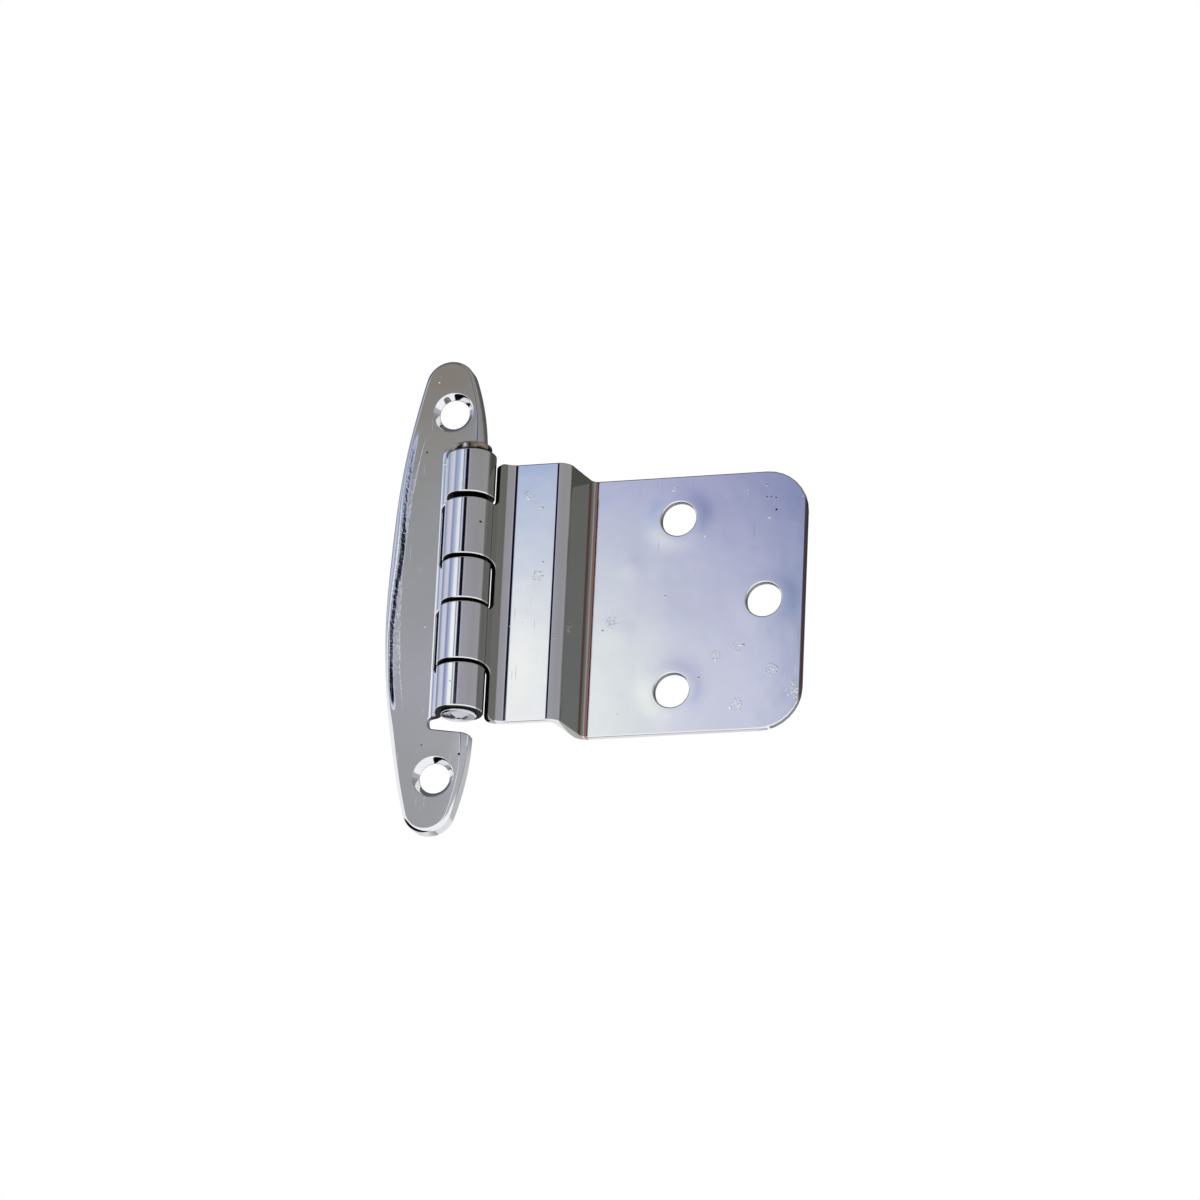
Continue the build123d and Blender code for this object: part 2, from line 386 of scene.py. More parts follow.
def close_shell(
    front: Surface, edge: float, lathes: list[tuple], back_points: np.ndarray | None = None
) -> Surface:
    """Closes a sheet's front into a shell of the sheet's thickness with rounded cut edges.

    The back is the front moved along its normals by the thickness. At a border point, with n the normal
    and o the direction out of the sheet, ring points are p plus o times (e sin a) less n times
    (e - e cos a) for the angle a from 0 to 90 degrees, and the mirrored arc with the smaller radius
    from 90 to 180 degrees at the back.

    Args:
        front: The front surface, whose border lies inside the real edge by the rounding.
        edge: Rounding radius at the front.
        lathes: Border rings that get turned profiles instead: vertex numbers in order, the ring's
            centre in x and z, and the profile's radius and y from front to back.
        back_points: The back's points where they differ from the front's moved along the normals.

    Returns:
        The closed shell.
    """
    size = len(front.points)
    if back_points is None:
        back_points = front.points - front.normals * SHEET
    back = Surface(back_points, -front.normals, front.faces[:, ::-1] + size)
    sides = np.vstack([front.faces[:, [0, 1]], front.faces[:, [1, 2]], front.faces[:, [2, 0]]])
    lone = sides[~np.isin(sides[:, 0] * size + sides[:, 1], sides[:, 1] * size + sides[:, 0])]
    turned = np.isin(lone, np.concatenate([ring for ring, _, _ in lathes]) if lathes else []).all(axis=1)
    border = lone[~turned]
    along = unit(front.points[border[:, 1]] - front.points[border[:, 0]])
    out_start = np.zeros((size, 3))
    out_end = np.zeros((size, 3))
    out_start[border[:, 0]] = unit(np.cross(along, front.normals[border[:, 0]]))
    out_end[border[:, 1]] = unit(np.cross(along, front.normals[border[:, 1]]))
    rim = np.unique(border)
    number = np.full(size, -1)
    number[rim] = np.arange(len(rim))
    corner = np.maximum(1 + np.sum(out_start[rim] * out_end[rim], axis=1), 0.8)[:, None]
    reach = (out_start[rim] + out_end[rim]) / corner
    out = unit(reach)
    near, normal = front.points[rim], front.normals[rim]
    turns = np.radians(np.linspace(0, 90, ROUND_STEPS + 1))
    rings, ring_normals, walls = [], [], [np.zeros(2 * size)]
    for angle in turns[1:]:
        walls.append(np.full(len(rim), 2 * angle / math.pi))
        rings.append(near + reach * edge * np.sin(angle) - normal * edge * (1 - np.cos(angle)))
        ring_normals.append(normal * np.cos(angle) + out * np.sin(angle))
    for angle in turns[:-1]:
        walls.append(np.full(len(rim), 1.0 + (angle > 0.5)))
        lift = edge - BACK_EDGE + BACK_EDGE * np.cos(angle)
        sink = SHEET - BACK_EDGE + BACK_EDGE * np.sin(angle)
        rings.append(near + reach * lift - normal * sink)
        ring_normals.append(out * np.cos(angle) - normal * np.sin(angle))
    points = [front.points, back.points, *rings]
    normals = [front.normals, back.normals, *ring_normals]
    chain = [border] + [number[border] + 2 * size + i * len(rim) for i in range(len(rings))] + [border + size]
    faces = [front.faces, back.faces] + [band_faces(a, b) for a, b in zip(chain[:-1], chain[1:])]
    total = 2 * size + len(rings) * len(rim)
    for ring, centre, profile in lathes:
        spoke = unit(front.points[ring] * (1, 0, 1) - np.array([centre[0], 0, centre[1]]))
        slope = unit(np.gradient(profile, axis=0))
        rows = [ring]
        for (radius_here, depth), (step_out, step_in) in zip(profile[1:-1], slope[1:-1]):
            points.append(spoke * radius_here + (centre[0], depth, centre[1]))
            normals.append(-spoke * step_in + np.array([0, step_out, 0]))
            walls.append(np.zeros(len(ring)))
            rows.append(np.arange(len(ring)) + total)
            total += len(ring)
        rows.append(ring + size)
        paired = [np.stack([row, np.roll(row, -1)], axis=1) for row in rows]
        faces += [band_faces(a, b) for a, b in zip(paired[:-1], paired[1:])]
    place = np.vstack(points)
    # Painted shade on the cut edges, joined with the front's own.
    painted_shade = edge_painted_shade(place, np.concatenate(walls))
    if front.painted_shade is not None:
        painted_shade[:size] = np.maximum(painted_shade[:size], front.painted_shade)
    return Surface(place, unit(np.vstack(normals)), np.vstack(faces), painted_shade)


def away(tree: bpy.types.NodeTree, value: Link, middle: float) -> Link:
    """Adds the distance of a value from a middle, which is the size of their difference."""
    difference = add_node(tree, "Math", (value, middle), operation="SUBTRACT")
    return add_node(tree, "Math", (difference,), operation="ABSOLUTE")


@dataclass(frozen=True)
class Mark:
    """A small round spot on a leaf, by its x and z and its radius in millimetres."""

    x: float
    z: float
    radius: float = 0.25


PLATE_SCUFFS = (
    Mark(40.2, -6.8, 0.9), Mark(45.0, -10.5, 1.0), Mark(40.2, -15.4, 1.1), Mark(37.0, -8.1, 0.9),
    Mark(21.8, -2.3, 1.0), Mark(34.7, 9.9, 0.4), Mark(40.7, 16.2, 0.4), Mark(48.5, -13.6, 1.4),
    Mark(44.0, 12.0, 0.3), Mark(37.8, 15.6, 0.4), Mark(30.0, 17.2, 0.6), Mark(13.2, 2.2, 0.9),
    Mark(11.3, 14.4, 0.7), Mark(13.0, 12.4, 0.6),
)
PLATE_PITS = (
    Mark(6.0, 8.9, 0.2), Mark(44.9, 13.2, 0.2), Mark(43.5, 15.2, 0.13), Mark(44.1, 15.2, 0.13),
    Mark(44.8, 15.0, 0.13),
)


@dataclass(frozen=True)
class Chrome:
    """Bright nickel-chrome plating over pressed steel.

    Chrome is a mirror with a cool cast. What the eye finds on it is not its own colour but a faint
    waviness of the pressed sheet, hairline scratches, flecks and pits. Painted shade and painted reflection lie
    in bands along the folds, and painted shade blackens the cut edges in the gaps.
    """

    name: str
    bright: str = "#f4f5f8"
    dull: str = "#e7e8ec"
    # Black of the real pits and of the painted shade on the cut edges in the gaps.
    pits_and_painted_shade: str = "#0b0a09"
    roughness: float = 0.055
    wave_mm: float = 7.0
    wave_height: float = 0.012
    fleck_gap_mm: float = 2.2
    hairline_mm: tuple = (0.16, 2.0, 5.0)
    hairline_turn: float = 32.0
    cloud_mm: float = 9.0
    rub_mm: float = 2.5
    grain_mm: float = 0.45
    scratch_height: float = 0.03
    scuff_mm: float = 0.38
    pits: tuple = ()
    scuffs: tuple = ()
    stain_and_painted_light: tuple = ()
    rough_band: tuple | None = None

    def pattern(self, tree: bpy.types.NodeTree, place: Link) -> Link:
        """Adds flecks and hairlines, gathered in patches, and the rough band of the rim if there is one.

        Args:
            tree: The material's node tree.
            place: Object coordinates.

        Returns:
            The height of the fine marks.
        """
        patch = add_node(tree, "TexNoise", {"Vector": place, "Scale": 1 / (self.cloud_mm * MM), "Detail": 1.0})
        patchy = add_node(tree, "MapRange", (patch, 0.52, 0.62), interpolation_type="SMOOTHSTEP")
        cell = add_node(
            tree, "TexVoronoi", {"Vector": place, "Scale": 1 / (self.fleck_gap_mm * MM)}, feature="F1"
        )
        fleck = add_node(tree, "MapRange", (cell, 0.08, 0.03))
        marks = add_node(tree, "Math", (fleck, patchy), operation="MULTIPLY")
        turned = add_node(
            tree,
            "Mapping",
            {
                "Vector": place,
                "Rotation": (0.0, math.radians(self.hairline_turn), 0.0),
                "Scale": tuple(1 / (size * MM) for size in self.hairline_mm),
            },
        )
        line = add_node(tree, "TexNoise", {"Vector": turned, "Scale": 1.0, "Detail": 1.0})
        hairline = add_node(tree, "MapRange", (line, 0.74, 0.82, 0.0, 0.04))
        height = add_node(tree, "Math", (marks, hairline), operation="ADD")
        if self.scuffs:
            height = add_node(tree, "Math", (self.scuffed(tree, place), 0.5, height), operation="MULTIPLY_ADD")
        if self.rough_band is None:
            return height
        centre, radius, first, last, low, top = self.rough_band
        flat = add_node(tree, "VectorMath", (place, (1.0, 0.0, 1.0)), operation="MULTIPLY")
        reach = add_node(tree, "VectorMath", (flat, (centre * MM, 0.0, 0.0)), operation="DISTANCE")
        axes = add_node(tree, "SeparateXYZ", {"Vector": place})
        across = add_node(tree, "MapRange", (reach, (radius - last) * MM, (radius - first) * MM))
        along = add_node(tree, "MapRange", (axes.outputs["Z"], low * MM, top * MM))
        shares = tuple(away(tree, part, 0.5) for part in (across, along))
        widest = add_node(tree, "Math", shares, operation="MAXIMUM")
        inside_band = add_node(tree, "MapRange", (widest, 0.5, 0.3))
        grain = add_node(tree, "TexNoise", {"Vector": place, "Scale": 1 / (self.grain_mm * MM), "Detail": 4.0})
        pitted = add_node(tree, "Math", (grain, inside_band), operation="MULTIPLY")
        return add_node(tree, "Math", (pitted, 0.7, height), operation="MULTIPLY_ADD")

    def scuffed(self, tree: bpy.types.NodeTree, place: Link) -> Link:
        """Adds the scuffs: crumbs of a fine noise inside the discs of the marks.

        Args:
            tree: The material's node tree.
            place: Object coordinates.

        Returns:
            The share of scuffed metal.
        """
        crumbs = add_node(tree, "TexNoise", {"Vector": place, "Scale": 1 / (self.scuff_mm * MM), "Detail": 2.0})
        cut = add_node(tree, "MapRange", (crumbs, 0.54, 0.62))
        return add_node(tree, "Math", (cut, self.discs(tree, place, self.scuffs, 0.0)), operation="MULTIPLY")

    def discs(self, tree: bpy.types.NodeTree, place: Link, marks: tuple, share: Link | float) -> Link | float:
        """Adds a soft disc for each mark and joins them with a share by the larger value.

        Args:
            tree: The material's node tree.
            place: Object coordinates.
            marks: Places and radii, seen from the room.
            share: The share to start from.

        Returns:
            The joined share.
        """
        flat = add_node(tree, "VectorMath", (place, (1.0, 0.0, 1.0)), operation="MULTIPLY")
        for mark in marks:
            reach = add_node(tree, "VectorMath", (flat, (mark.x * MM, 0.0, mark.z * MM)), operation="DISTANCE")
            edge = mark.radius * MM
            spot = add_node(tree, "MapRange", (reach, edge, edge / 2))
            share = add_node(tree, "Math", (share, spot), operation="MAXIMUM")
        return share

    def build(self) -> bpy.types.Material:
        """Builds the node material and returns it."""
        material, tree = start_material(self.name)
        place = add_node(tree, "TexCoord").outputs["Object"]
        cloud = add_node(tree, "TexNoise", {"Vector": place, "Scale": 1 / (self.cloud_mm * MM), "Detail": 3.0})
        tint = add_node(
            tree, "Mix", {"Factor": cloud, "A": linear(self.bright), "B": linear(self.dull)}, data_type="RGBA"
        )
        axes = add_node(tree, "SeparateXYZ", {"Vector": place})
        # Bands across x of painted shade and painted reflection, mixed over the tint.
        for low, high, soft, code in self.stain_and_painted_light:
            middle, half = (low + high) / 2, (high - low) / 2
            aside = away(tree, axes.outputs["X"], middle * MM)
            share = add_node(tree, "MapRange", (aside, half * MM, (half - soft) * MM))
            tint = add_node(tree, "Mix", {"Factor": share, "A": tint, "B": linear(code)}, data_type="RGBA")
        # Painted shade from the mesh attribute, joined with the real pits, blackens the colour.
        painted_shade = add_node(tree, "Attribute", attribute_name="painted_shade").outputs["Fac"]
        pits_and_painted_shade = self.discs(tree, place, self.pits, painted_shade)
        colour = add_node(tree, "Mix", {"Factor": pits_and_painted_shade, "A": tint, "B": linear(self.pits_and_painted_shade)}, data_type="RGBA")
        rub = add_node(tree, "TexNoise", {"Vector": place, "Scale": 1 / (self.rub_mm * MM), "Detail": 5.0})
        gloss = add_node(
            tree, "MapRange", {"Value": rub, "To Min": self.roughness * 0.6, "To Max": self.roughness * 1.5}
        )
        rough = add_node(tree, "Math", (pits_and_painted_shade, 0.5, gloss), operation="MULTIPLY_ADD")
        wave = add_node(tree, "TexNoise", {"Vector": place, "Scale": 1 / (self.wave_mm * MM), "Detail": 2.0})
        wavy = add_node(tree, "Bump", {"Height": wave, "Distance": self.wave_height * MM, "Strength": 1.0})
        scratched = add_node(
            tree,
            "Bump",
            {
                "Height": self.pattern(tree, place),
                "Distance": self.scratch_height * MM,
                "Strength": 1.0,
                "Normal": wavy,
            },
        )
        metallic: Link | float = 1.0
        if self.scuffs:
            metallic = add_node(tree, "Math", (self.scuffed(tree, place), -0.9, 1.0), operation="MULTIPLY_ADD")
        shader = add_node(
            tree,
            "BsdfPrincipled",
            {"Base Color": colour, "Metallic": metallic, "Roughness": rough, "Normal": scratched},
        )
        add_node(tree, "OutputMaterial", {"Surface": shader.outputs["BSDF"]})
        return material


@dataclass(frozen=True)
class PinSteel:
    """Turned and peened steel, thinly plated: bright on its edges, with brown and yellow stain round the head.

    The eye takes the stain for old lacquer or rust; the shaft between the ends and up under the head is painted
    black, as the shade seen through the gaps between the knuckles and under the head.
    """

    name: str
    steel: str = "#d6d7dc"
    brown: str = "#3b2a12"
    yellow: str = "#b78f45"
    # Black painted as shade for the gaps between the knuckles and under the head.
    painted_gap_shade: str = "#0b0a09"
    stain_mm: float = 1.1
    rub_mm: float = 0.7
    beaten_height: float = 0.03
    roughness: float = 0.12
    shaft: tuple = (-18.4, 19.8)
    stain_fade: tuple = (20.95, 20.55)
    painted_gap_shade_fade: tuple = (20.4, 20.05)

    def build(self) -> bpy.types.Material:
        """Builds the node material and returns it."""
        material, tree = start_material(self.name)
        place = add_node(tree, "TexCoord").outputs["Object"]
        cloud = add_node(tree, "TexNoise", {"Vector": place, "Scale": 1 / (self.stain_mm * MM), "Detail": 3.0})
        stain = set_ramp(
            add_node(tree, "ValToRGB", {"Fac": cloud}),
            [(0.0, self.brown), (0.44, self.brown), (0.5, self.yellow), (0.56, self.steel), (1.0, self.steel)],
        )
        height = add_node(tree, "SeparateXYZ", {"Vector": place}).outputs["Z"]
        low, top = (end * MM for end in self.shaft)
        faded, full = (end * MM for end in self.stain_fade)
        below_top = add_node(tree, "MapRange", (height, faded, full))
        above_shaft = add_node(tree, "Math", (height, top), operation="GREATER_THAN")
        stain_and_painted_light = add_node(tree, "Math", (below_top, above_shaft), operation="MULTIPLY")
        colour = add_node(
            tree, "Mix", {"Factor": stain_and_painted_light, "A": linear(self.steel), "B": stain}, data_type="RGBA"
        )
        # Painted shade: the shaft and the seat under the head go black, as seen through the gaps.
        over_low = add_node(tree, "Math", (height, low), operation="GREATER_THAN")
        faded, full = (end * MM for end in self.painted_gap_shade_fade)
        painted_shade_share = add_node(tree, "MapRange", (height, faded, full))
        black = add_node(tree, "Math", (over_low, painted_shade_share), operation="MULTIPLY")
        with_painted_shade = add_node(
            tree, "Mix", {"Factor": black, "A": colour, "B": linear(self.painted_gap_shade)}, data_type="RGBA"
        )
        rub = add_node(tree, "TexNoise", {"Vector": place, "Scale": 1 / (self.rub_mm * MM), "Detail": 4.0})
        gloss = add_node(
            tree, "MapRange", {"Value": rub, "To Min": self.roughness * 0.6, "To Max": self.roughness * 1.8}
        )
        beaten = add_node(tree, "Bump", {"Height": rub, "Distance": self.beaten_height * MM, "Strength": 1.0})
        shader = add_node(
            tree,
            "BsdfPrincipled",
            {"Base Color": with_painted_shade, "Metallic": 1.0, "Roughness": gloss, "Normal": beaten},
        )
        add_node(tree, "OutputMaterial", {"Surface": shader.outputs["BSDF"]})
        return material


@dataclass
class FrameLeaf:
    """The pointed leaf on the cabinet's face, with its rolled rim and three knuckles."""

    bulge: float = 8.3
    bulge_radius: float = 129.0
    length: float = 69.85
    tip_radius: float = 3.6
    lobe_width: float = 4.7
    lobe_start: float = 20.4
    lobe_inset: float = 1.4
    slot_top: float = 21.5
    slot_corner: float = 0.8
    barrel_radius: float = 3.39725
    bend: float = 1.3
    seam_angle: float = 28.0
    knuckles: tuple = ((13.25, 19.75), (-2.5, 3.6), (-18.35, -11.85))
    root: float = 0.8
    notch_run: float = 0.42
    low_slot_root: float = 19.9
    low_slot_angle: float = 8.8
    edge: float = 0.22
    slot_end_run: float = 1.45
    edge_shade: float = 0.18
    web_top: float = 21.4
    ridge: float = 0.9
    ridge_least: float = 0.05
    ridge_z: float = 30.0
    ridge_tilt: float = 6.5
    screw_z: float = 26.9875
    countersink: float = 2.9
    hole: float = 2.15
    cone_angle: float = 41.0

    def __post_init__(self) -> None:
        """Works out the arcs that the outline and the bends are made of."""
        centre = self.bulge_radius - self.bulge
        self.tip_z = self.length / 2 - self.tip_radius
        self.tip_x = centre - math.sqrt((self.bulge_radius - self.tip_radius) ** 2 - self.tip_z**2)
        run = self.tip_x - self.lobe_width
        rise = self.tip_z - self.lobe_start
        self.lobe_radius = (run**2 + rise**2 - self.tip_radius**2) / (-2 * (run + self.tip_radius))
        self.left_angle = math.atan2(self.tip_z, self.tip_x - centre)
        self.right_angle = math.atan2(rise, self.tip_x - self.lobe_width + self.lobe_radius)
        lift = -SHEET - PIN_Y - self.bend
        reach = math.sqrt((self.barrel_radius + self.bend) ** 2 - lift**2)
        self.start_x = PIN_X - reach
        self.start_angle = math.atan2(lift, -reach)
        self.bend_turn = math.atan2(reach, -lift)
        self.bend_run = self.bend * self.bend_turn
        wrap = math.pi - math.radians(self.seam_angle) - self.start_angle
        self.wrap_end = self.start_x + self.bend_run + self.barrel_radius * wrap

    def low_slot(self, x: float | np.ndarray) -> float | np.ndarray:
        """Gives the height of the lower slot's slanted lower edge at x."""
        return -self.low_slot_root - (x - self.start_x) * math.tan(math.radians(self.low_slot_angle))

    def rim_outline(self) -> tuple[np.ndarray, np.ndarray]:
        """Traces the rolled rim's outline, from the upper slot over the tips to the lower slot.

        Returns:
            Points in x and z, and the unit directions out of the leaf.
        """
        lobe_x = self.lobe_width - self.lobe_radius
        bulge_x = self.bulge_radius - self.bulge
        slot_angle = math.asin((self.slot_top + self.edge - self.lobe_start) / self.lobe_radius)
        low_z = self.low_slot(self.lobe_width - self.lobe_inset)
        low_z -= self.edge / math.cos(math.radians(self.low_slot_angle))
        low_angle = math.asin((low_z + self.lobe_start) / (self.lobe_radius - self.lobe_inset))
        arcs = (
            ((lobe_x, self.lobe_start), self.lobe_radius, slot_angle, self.right_angle, 34),
            ((self.tip_x, self.tip_z), self.tip_radius, self.right_angle, self.left_angle, 30),
            ((bulge_x, 0.0), self.bulge_radius, self.left_angle, 2 * math.pi - self.left_angle, 170),
            ((self.tip_x, -self.tip_z), self.tip_radius, -self.left_angle, -self.right_angle, 30),
            ((lobe_x, -self.lobe_start), self.lobe_radius, -self.right_angle, low_angle, 34),
        )
        points, outward = [], []
        for centre, radius, start, end, count in arcs:
            angle = np.linspace(start, end, count + 1)[: count + (end == low_angle)]
            spoke = np.stack([np.cos(angle), np.sin(angle)], axis=1)
            points.append(np.asarray(centre) + radius * spoke)
            outward.append(spoke)
        return np.vstack(points), np.vstack(outward)

    @staticmethod
    def on_left(outward: np.ndarray) -> np.ndarray:
        """Gives 1 on the left side and 0 on the lobes, with a short slope between them."""
        return np.clip(-outward[:, 0] * 3, 0, 1)

    def roll_radius(self, outline: np.ndarray, outward: np.ndarray) -> np.ndarray:
        """Gives the rim's roll from radii given by z, the left side's and the lobes', smoothed along z."""
        levels = outline[:, 1:] + np.linspace(-2, 2, 9)[None, :]
        heights = (-35.0, -26.0, -20.0, -15.5, -12.0, -6.0, 0.0, 5.5, 10.0, 15.0, 21.0, 35.0)
        radii = (0.55, 0.6, 0.7, 0.4, 0.4, 0.5, 0.9, 1.35, 1.2, 0.8, 0.5, 0.55)
        left = np.interp(levels, heights, radii).mean(axis=1)
        places, lobe_radii = (19.0, 22.5, 25.0, 28.5, 31.0, 35.0), (1.3, 1.1, 0.75, 0.65, 0.6, 0.55)
        right = np.interp(np.abs(levels), places, lobe_radii).mean(axis=1)
        return right + (left - right) * self.on_left(outward)

    def ridge_lean(self, outline: np.ndarray, outward: np.ndarray) -> np.ndarray:
        """Gives the steepest lean of the ridge before the roll, in radians, on the middle of the left side."""
        heights = (-18.0, -15.0, 8.0, 14.0, 22.0, 26.0)
        share = np.interp(outline[:, 1], heights, (0.0, 1.0, 1.0, 0.7, 0.55, 0.0))
        return math.radians(self.ridge_tilt) * share * self.on_left(outward)

    def fold(self, flat: np.ndarray) -> tuple[np.ndarray, np.ndarray]:
        """Folds the blank: flat, then an arc towards the room, then the wrap over the front of the pin.

        Above the uppermost knuckle the fold dies away: the place is the flat one plus a share of the way to
        the folded one, and the share falls smoothly from 1 to 0. The normal is the cross product of the
        place's slopes along the run and along z.

        Args:
            flat: Points of the blank in run and z.

        Returns:
            Points and normals in space.
        """
        run = flat[:, 0] - self.start_x
        tongue = (run > 0) & (flat[:, 1] > -18.9) & (flat[:, 1] < self.web_top)
        turn = np.clip(run / self.bend, 0, self.bend_turn)
        bend_x = self.start_x + self.bend * np.sin(turn)
        bend_y = -SHEET - self.bend + self.bend * np.cos(turn)
        angle = self.start_angle + (run - self.bend_run) / self.barrel_radius
        wrapped = tongue & (run > self.bend_run)
        x = np.where(wrapped, PIN_X + self.barrel_radius * np.cos(angle), np.where(tongue, bend_x, flat[:, 0]))
        y = np.where(wrapped, PIN_Y + self.barrel_radius * np.sin(angle), np.where(tongue, bend_y, -SHEET))
        lean_x = np.where(wrapped, np.cos(angle), np.where(tongue, -np.sin(turn), 0.0))
        lean_y = np.where(wrapped, np.sin(angle), np.where(tongue, -np.cos(turn), -1.0))
        fall = self.web_top - self.knuckles[0][1]
        part = np.clip((self.web_top - flat[:, 1]) / fall, 0, 1)
        share = part * part * (3 - 2 * part)
        slope = -6 * part * (1 - part) / fall
        way_x, way_y = x - flat[:, 0], y + SHEET
        along_run = np.stack([1 - share * (1 + lean_y), share * lean_x, np.zeros(len(flat))], axis=1)
        along_z = np.stack([slope * way_x, slope * way_y, np.ones(len(flat))], axis=1)
        points = np.stack([flat[:, 0] + share * way_x, share * way_y - SHEET, flat[:, 1]], axis=1)
        return points, unit(np.cross(along_run, along_z))

    def inner_edge(self, start: np.ndarray) -> np.ndarray:
        """Traces the edge along the lower slot, the knuckles and the upper slot, between the rim's two ends.

        Args:
            start: The line on which the rim's roll begins.

        Returns:
            Points in run and z, without the two ends.
        """
        low_x = start[-1, 0]
        corners = [(low_x, self.low_slot(low_x)), (self.start_x, self.low_slot(self.start_x))]
        radii = [0.0, self.slot_corner]
        notch = self.start_x + self.notch_run
        for low, high in reversed(self.knuckles):
            corners += [(notch, low), (self.wrap_end, low), (self.wrap_end, high), (notch, high)]
            radii += [self.root, 0.35, 0.35, self.root]
        slot_end = self.start_x + self.slot_end_run
        corners[2] = (self.start_x, self.knuckles[-1][0])
        corners[-1] = (slot_end, self.knuckles[0][1])
        radii[2] = radii[-1] = 0.4
        corners += [(slot_end, self.slot_top), (start[0, 0], self.slot_top)]
        radii += [self.slot_corner, 0.0]
        return rounded_path(corners, radii, self.edge, False)[1:]

    def screw_profile(self) -> np.ndarray:
        """Gives a screw hole's radius and y from front to back: a lip, the cone, the bore and the back."""
        wide, bore, front = self.countersink, self.hole, -SHEET
        depth = (wide - bore) / math.tan(math.radians(self.cone_angle))
        return np.array(
            [
                (wide + HOLE_LIP, front), (wide + 0.03, front + 0.015), (wide - 0.04, front + 0.07),
                (wide - 0.2, front + 0.07 + 0.16 / wide * 3.3), (bore + 0.06, front + depth - 0.04),
                (bore + 0.01, front + depth + 0.02), (bore, -0.06), (bore + 0.04, -0.01), (bore + 0.1, 0.0),
                (wide + HOLE_LIP, 0.0),
            ]
        )

    def surface(self) -> Surface:
        """Builds the leaf: the blank is filled and folded, and a ridge and the roll are swept along the rim.

        On the ridge the lean is the steepest one times the sine of pi t, with t from 0 to 1 across it, so
        that the rise is its integral. The roll is a quarter circle that starts level on the ridge's crest.
        Near the lower slot the swept rows slide along z until they end on the slot's slanted edge.
        """
        outline, outward = self.rim_outline()
        roll = self.roll_radius(outline, outward)
        lean = self.ridge_lean(outline, outward)
        ridge = self.ridge_least + self.ridge * self.on_left(outward) * (np.abs(outline[:, 1]) < self.ridge_z)
        ridge = np.convolve(np.pad(ridge, 4, mode="edge"), np.full(9, 1 / 9), mode="valid")
        start = outline - outward * (roll + ridge)[:, None]
        loop = np.vstack([start, self.inner_edge(start)])
        screws = [(0.0, self.screw_z), (0.0, -self.screw_z)]
        holes = [circle(screw, self.countersink + HOLE_LIP, HOLE_POINTS) for screw in screws]
        bend_end = self.start_x + self.bend_run
        sections = [(-self.bulge, 1.0), (self.start_x, 0.8), (bend_end, 0.1), (self.wrap_end, 0.2)]
        filling = lattice(sections, (-self.length / 2, self.length / 2, 0.6))
        flat, faces = fill([loop, *holes], filling)
        points, normals = self.fold(flat)
        direction = np.stack([outward[:, 0], np.zeros(len(outward)), outward[:, 1]], axis=1)
        base = np.stack([start[:, 0], np.full(len(start), -SHEET), start[:, 1]], axis=1)
        rows, row_normals, backs = [], [], []
        bend_inside = np.maximum(roll - SHEET, BACK_EDGE)
        reach = ridge + roll - SHEET - bend_inside
        for part in np.linspace(0, 1, 9)[1:]:
            rise = ridge * lean * (1 - math.cos(math.pi * part)) / math.pi
            backs.append(base + direction * (reach * part)[:, None] + np.outer(SHEET - rise, (0, 1, 0)))
            tilt = (lean * math.sin(math.pi * part))[:, None]
            rows.append(base + direction * (ridge * part)[:, None] - np.outer(rise, (0, 1, 0)))
            row_normals.append(-direction * np.sin(tilt) - np.cos(tilt) * np.array([0, 1, 0]))
        crest, crest_back = rows[-1], backs[-1]
        for angle in np.radians(np.linspace(0, 90, 13))[1:]:
            drop = np.outer(roll * (1 - math.cos(angle)), (0, 1, 0))
            rows.append(crest + direction * (roll * math.sin(angle))[:, None] + drop)
            row_normals.append(direction * math.sin(angle) - np.array([0, math.cos(angle), 0]))
            sweep = bend_inside * (1 - math.cos(angle))
            out = (bend_inside * math.sin(angle))[:, None]
            backs.append(crest_back + direction * out + np.outer(sweep, (0, 1, 0)))
        backs.append(backs[-1] * (1, 0, 1) + (0, FRAME_FACE - self.edge, 0))
        rows.append(rows[-1] * (1, 0, 1) + (0, FRAME_FACE - self.edge, 0))
        row_normals.append(row_normals[-1])
        fade = np.clip(1 - (start[-1, 1] - start[:, 1]) / 3, 0, 1) * (outward[:, 0] > 0.3) * (outline[:, 1] < 0)
        slant = math.tan(math.radians(self.low_slot_angle))
        for row in rows + backs:
            row[:, 2] -= slant * fade * (row[:, 0] - start[:, 0])
        size, count = len(points), len(start)
        chain = [np.arange(count)] + [size + i * count + np.arange(count) for i in range(len(rows))]
        paired = [np.stack([row[:-1], row[1:]], axis=1) for row in chain]
        faces = np.vstack([faces] + [band_faces(a, b) for a, b in zip(paired[:-1], paired[1:])])
        # Painted shade on the rim's last two rows, where the roll turns back towards the cabinet.
        edge_shade = np.zeros(size + count * len(rows))
        edge_shade[size:].reshape(len(rows), count)[-2:] = self.edge_shade
        front = Surface(np.vstack([points, *rows]), np.vstack([normals, *row_normals]), faces, edge_shade)
        ring = np.arange(HOLE_POINTS) + len(loop)
        lathes = [(ring + i * HOLE_POINTS, screw, self.screw_profile()) for i, screw in enumerate(screws)]
        back_points = np.vstack([points - normals * SHEET, *backs])
        return close_shell(front, self.edge, lathes, back_points)


